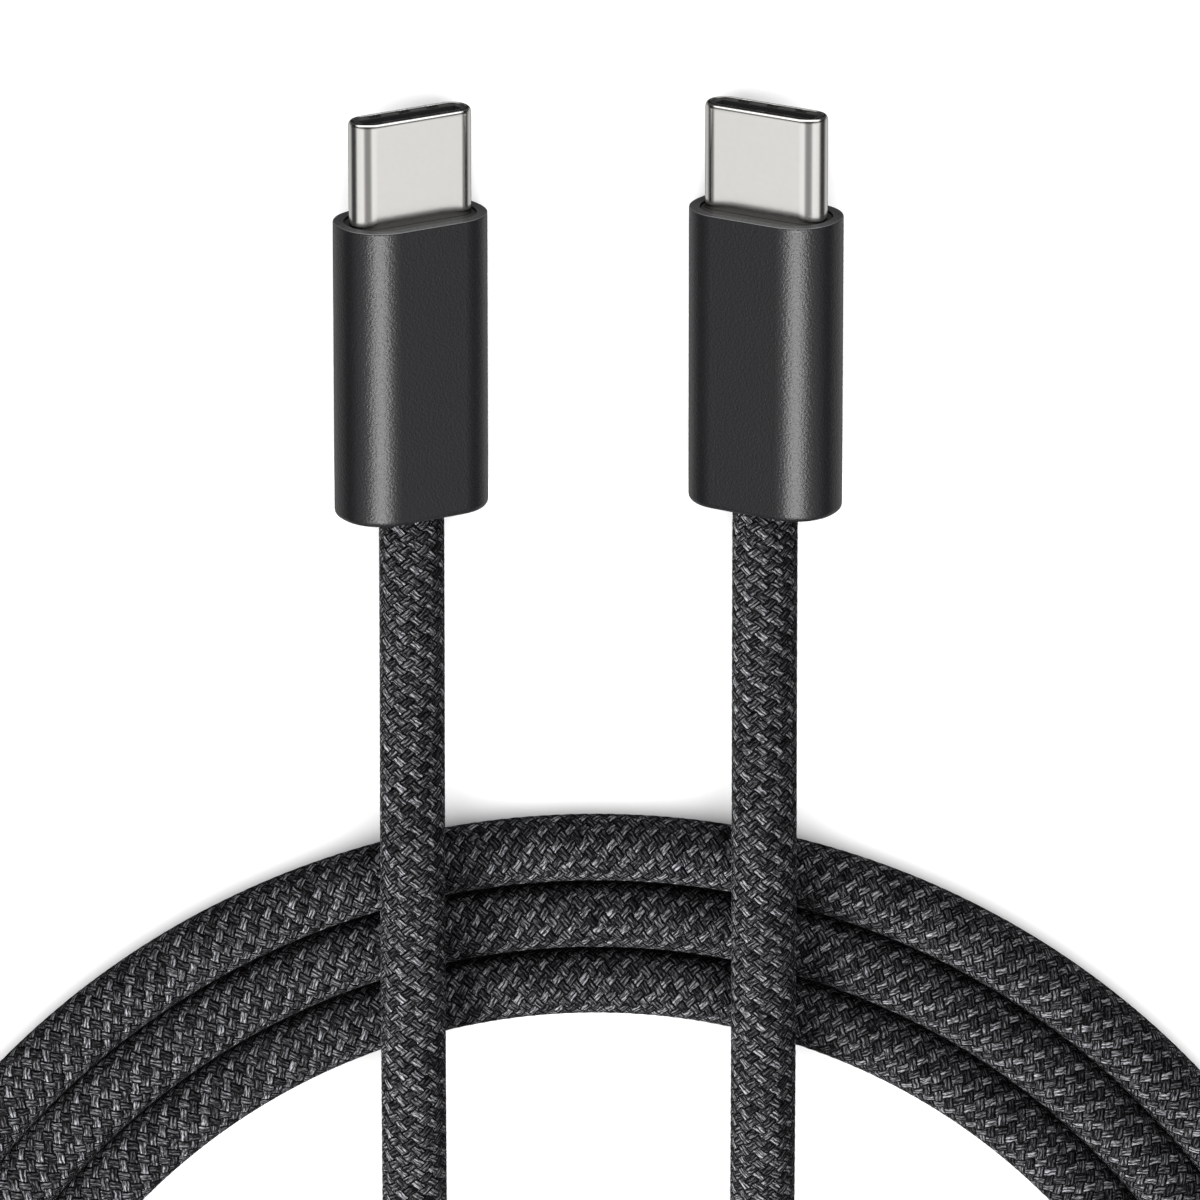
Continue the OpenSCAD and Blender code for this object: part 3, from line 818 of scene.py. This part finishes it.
def make_floor():
    mesh = bpy.data.meshes.new("floor")
    z = cad_box[0].z - FLOOR_DROP
    corners = [(x * FLOOR_HALF, y * FLOOR_HALF, z) for x, y in ((-1, -1), (1, -1), (1, 1), (-1, 1))]
    mesh.from_pydata(corners, [], [(0, 1, 2, 3)])
    s = Shader("pale_floor", (0.9, 0.9, 0.9), 0.7, Specular_IOR_Level=0.2)
    mesh.materials.append(s.material)
    floor = add_object("floor", mesh)
    floor.visible_glossy = False         # the floor is overexposed, and would glare in the shells
    floor.visible_diffuse = False        # nor does it light the pieces from below
    return floor


def area_light(name, direction, distance, size, radiance):
    """A soft box of that radiance in that direction, which faces the plugs."""
    data = bpy.data.lights.new(name, "AREA")
    data.shape = "RECTANGLE"
    data.size, data.size_y = size
    data.energy = radiance * math.pi * size[0] * size[1]
    lamp = bpy.data.objects.new(name, data)
    towards = Vector(direction).normalized()
    lamp.location = Vector(LIGHT_AIM) + towards * distance
    lamp.rotation_euler = towards.to_track_quat("Z", "Y").to_euler()
    bpy.context.scene.collection.objects.link(lamp)
    return lamp


def make_world():
    """A pale studio: a long bright panel on each side, dim between them, near the horizon and
    ahead of the plugs."""
    world = bpy.data.worlds.new("studio")
    bpy.context.scene.world = world
    world.use_nodes = True
    tree = world.node_tree

    def work(operation, *values):
        made = tree.nodes.new("ShaderNodeMath")
        made.operation = operation
        for socket, value in zip(made.inputs, values):
            if isinstance(value, bpy.types.NodeSocket):
                tree.links.new(value, socket)
            else:
                socket.default_value = value
        return made.outputs[0]

    split = tree.nodes.new("ShaderNodeSeparateXYZ")
    tree.links.new(tree.nodes.new("ShaderNodeTexCoord").outputs["Generated"], split.inputs[0])
    x, y, z = split.outputs
    from_overhead = work("DIVIDE", work("ABSOLUTE", work("ARCTAN2", x, z)), math.pi)
    ramp = tree.nodes.new("ShaderNodeValToRGB")
    ramp.color_ramp.interpolation = "EASE"
    points = ramp.color_ramp.elements
    while len(points) < len(STUDIO_BANDS):
        points.new(0.5)
    for point, (degrees, level) in zip(points, STUDIO_BANDS):
        point.position = degrees / 180
        point.color = (level, level, level, 1)
    tree.links.new(from_overhead, ramp.inputs[0])
    tree.links.new(ramp.outputs[0], tree.nodes["Background"].inputs["Color"])
    fade = tree.nodes.new("ShaderNodeMapRange")
    tree.links.new(y, fade.inputs["Value"])
    levels = (AHEAD_FROM, AHEAD_FULL, STUDIO_RADIANCE, AHEAD_RADIANCE)
    for socket, value in zip(fade.inputs[1:5], levels):
        socket.default_value = value
    tree.links.new(fade.outputs["Result"], tree.nodes["Background"].inputs["Strength"])


def only_for(lamp, objects):
    """Makes a lamp light those objects alone."""
    lit = bpy.data.collections.new("lit_by_" + lamp.name)
    for piece in objects:
        lit.objects.link(piece)
    lamp.light_linking.receiver_collection = lit


def make_lights(cords, housings, noses, floor):
    """Soft light from all over, and lamps that each light one group of pieces alone, so that the
    mirror-like shells stay calm and the floor is an even white."""
    make_world()
    key = area_light("cord_key", (-0.62, -0.78, 0.62), 0.5, (0.22, 0.22), 30.5)
    only_for(key, cords)
    fill = area_light("cord_fill", (0.1, 0.86, 0.5), 0.5, (0.3, 0.3), 5.6)
    only_for(fill, cords)
    strip = area_light("housing_strip", (0, -0.317, 0.948), 0.5, (0.35, 0.4), 16.5)
    only_for(strip, housings)
    ahead = area_light("nose_panel", (0, 0.95, 0.31), 0.4, (1.0, 0.30), 2.0)
    in_mouths = [frame["nodes"][f"{piece}_{end}"] for end in ENDS
                 for piece in ("insulator", "upper_ground_spring", "lower_ground_spring")]
    only_for(ahead, housings + noses + in_mouths)
    wash = area_light("floor_wash", (0, 0, 1), 1.2, (2.4, 2.4), 3.0)
    only_for(wash, [floor])


# ---- Scene ----

make_camera()
braid = braid_material()
route, cord, flexes = make_cord(braid)
dress_nodes()
housings, noses = make_plugs()
make_lights([cord] + flexes, housings, noses, make_floor())
bpy.context.scene.view_settings.view_transform = "Standard"

(route.at[route.ring_at(route.flex_a):
                                                        route.ring_at(route.flex_b) + 1:4])
